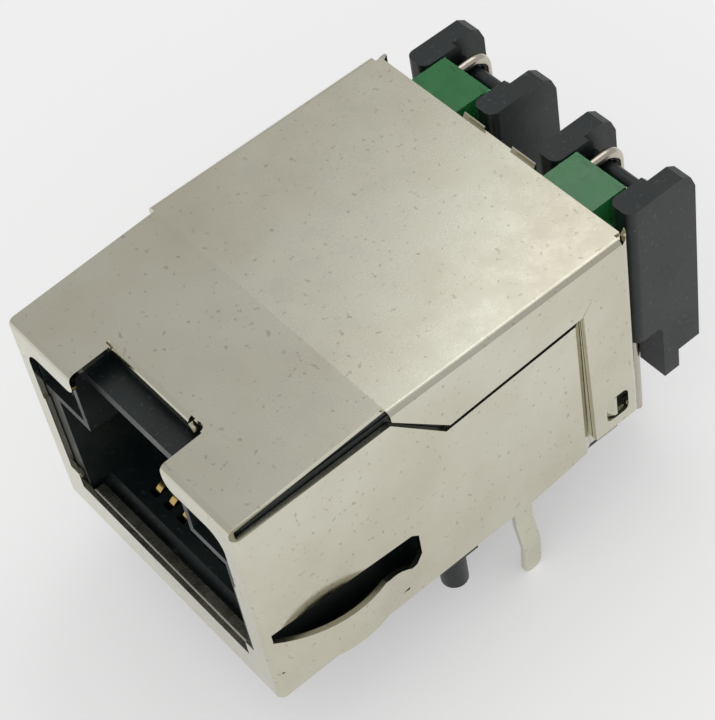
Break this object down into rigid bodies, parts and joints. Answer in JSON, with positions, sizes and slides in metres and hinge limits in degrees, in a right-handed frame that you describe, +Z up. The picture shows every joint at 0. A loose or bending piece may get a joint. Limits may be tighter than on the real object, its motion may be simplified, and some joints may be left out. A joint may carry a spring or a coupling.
{
  "type": "rj45 board jack",
  "caption": "Shielded modular network jack for a circuit board, with an eight-way plug port, built-in magnetics, side grounding springs and two rear light-emitting diodes.",
  "frame": {"origin": "on the board's surface, midway between the two locating posts, at the foot of the rib that joins them", "axes": "+X to the right seen from the port, +Y from the port to the rear, +Z up from the board"},
  "size_m": [0.0178, 0.0255, 0.017],
  "materials": {
    "nickel_sheet": "satin nickel plate, slightly warm, with fine specks",
    "black_moulding": "matt moulded, faint grain",
    "green_led": "clear green cast resin",
    "tinned_wire": "bright tin plate",
    "clear_pipe": "clear moulded light pipe",
    "gold_contact": "gold-plated spring wire",
    "black_insulator": "matt moulded",
    "board_laminate": "green solder mask",
    "ferrite": "dark sintered ferrite",
    "copper_wire": "enamelled copper",
    "chip_resistor": "dark coated chip",
    "chip_capacitor": "tan ceramic"
  },
  "bodies": {
    "root": {"front_shield": "nickel_sheet", "rear_shield": "nickel_sheet", "housing": "black_moulding", "led_holder_left": "black_moulding", "led_holder_right": "black_moulding", "led_left": "green_led", "led_right": "green_led", "led_lead_1": "tinned_wire", "led_lead_2": "tinned_wire", "led_lead_3": "tinned_wire", "led_lead_4": "tinned_wire", "light_pipe_left": "clear_pipe", "light_pipe_right": "clear_pipe", "contact_1": "gold_contact", "contact_2": "gold_contact", "contact_3": "gold_contact", "contact_4": "gold_contact", "contact_5": "gold_contact", "contact_6": "gold_contact", "contact_7": "gold_contact", "contact_8": "gold_contact", "contact_comb": "black_insulator", "magnetics_tray": "black_insulator", "magnetics_board": "board_laminate", "toroid_1": "ferrite", "toroid_2": "ferrite", "toroid_3": "ferrite", "toroid_4": "ferrite", "winding_1": "copper_wire", "winding_2": "copper_wire", "winding_3": "copper_wire", "winding_4": "copper_wire", "resistor_1": "chip_resistor", "resistor_2": "chip_resistor", "resistor_3": "chip_resistor", "resistor_4": "chip_resistor", "capacitor": "chip_capacitor", "signal_pin_1": "tinned_wire", "signal_pin_2": "tinned_wire", "signal_pin_3": "tinned_wire", "signal_pin_4": "tinned_wire", "signal_pin_5": "tinned_wire", "signal_pin_6": "tinned_wire", "signal_pin_7": "tinned_wire", "signal_pin_8": "tinned_wire"}
  },
  "joints": []
}
